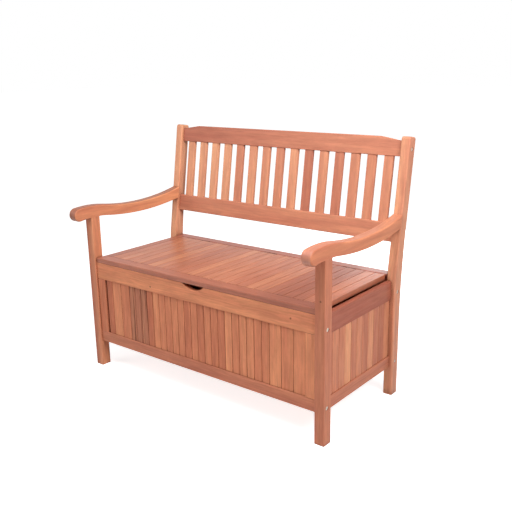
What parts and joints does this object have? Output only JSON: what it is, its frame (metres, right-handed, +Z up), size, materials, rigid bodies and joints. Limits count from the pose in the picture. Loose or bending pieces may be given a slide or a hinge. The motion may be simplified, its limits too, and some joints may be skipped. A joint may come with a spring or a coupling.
{
  "type": "garden storage bench",
  "caption": "Slatted hardwood garden bench with curved armrests, a raked slatted back and a panelled storage box under a seat lid that lifts on rear hinges.",
  "frame": {"origin": "on the floor, under the middle of the bench's bounding box", "axes": "+X along the bench to the right as seen from the front, +Y from the front to the backrest, +Z up"},
  "size_m": [1.1, 0.6384, 0.9232],
  "materials": {
    "hardwood": "oiled satin",
    "dowel_wood": "bare",
    "bolt_zinc": "yellow zinc plate",
    "steel": "zinc plate"
  },
  "bodies": {
    "bench": {"arm_dowels": "dowel_wood", "armrest_left": "hardwood", "armrest_right": "hardwood", "back_lower_rail": "hardwood", "back_rail_dowels": "dowel_wood", "back_slat_01": "hardwood", "back_slat_02": "hardwood", "back_slat_03": "hardwood", "back_slat_04": "hardwood", "back_slat_05": "hardwood", "back_slat_06": "hardwood", "back_slat_07": "hardwood", "back_slat_08": "hardwood", "back_slat_09": "hardwood", "back_slat_10": "hardwood", "back_slat_11": "hardwood", "back_slat_12": "hardwood", "back_slat_13": "hardwood", "back_slat_14": "hardwood", "back_slat_15": "hardwood", "back_top_rail": "hardwood", "barrel_nuts": "steel", "end_boards_left": "hardwood", "end_boards_right": "hardwood", "end_bottom_rail_left": "hardwood", "end_bottom_rail_right": "hardwood", "end_top_rail_left": "hardwood", "end_top_rail_right": "hardwood", "floor_boards": "hardwood", "floor_cleat_front": "hardwood", "floor_cleat_rear": "hardwood", "frame_bolts": "bolt_zinc", "front_boards": "hardwood", "front_bottom_rail": "hardwood", "front_leg_left": "hardwood", "front_leg_right": "hardwood", "front_stile_left": "hardwood", "front_stile_right": "hardwood", "front_top_rail": "hardwood", "hinge_leaves_fixed": "steel", "hinge_pins": "steel", "hinge_screws_fixed": "steel", "rear_boards": "hardwood", "rear_bottom_rail": "hardwood", "rear_post_left": "hardwood", "rear_post_right": "hardwood", "rear_seat_board": "hardwood", "rear_stile_left": "hardwood", "rear_stile_right": "hardwood", "rear_top_rail": "hardwood", "seat_board_dowels": "dowel_wood"},
    "lid": {"lid_front_board": "hardwood", "lid_slats": "hardwood", "lid_batten_front": "hardwood", "lid_batten_middle": "hardwood", "lid_batten_rear": "hardwood", "hinge_leaves_lid": "steel", "hinge_screws_lid": "steel"}
  },
  "joints": [
    {"name": "lid_hinge", "type": "hinge", "parent": "bench", "child": "lid", "pos_m": [0, 0.2096, 0.447], "axis": [-1, 0, 0], "range_deg": [0, 98]}
  ]
}
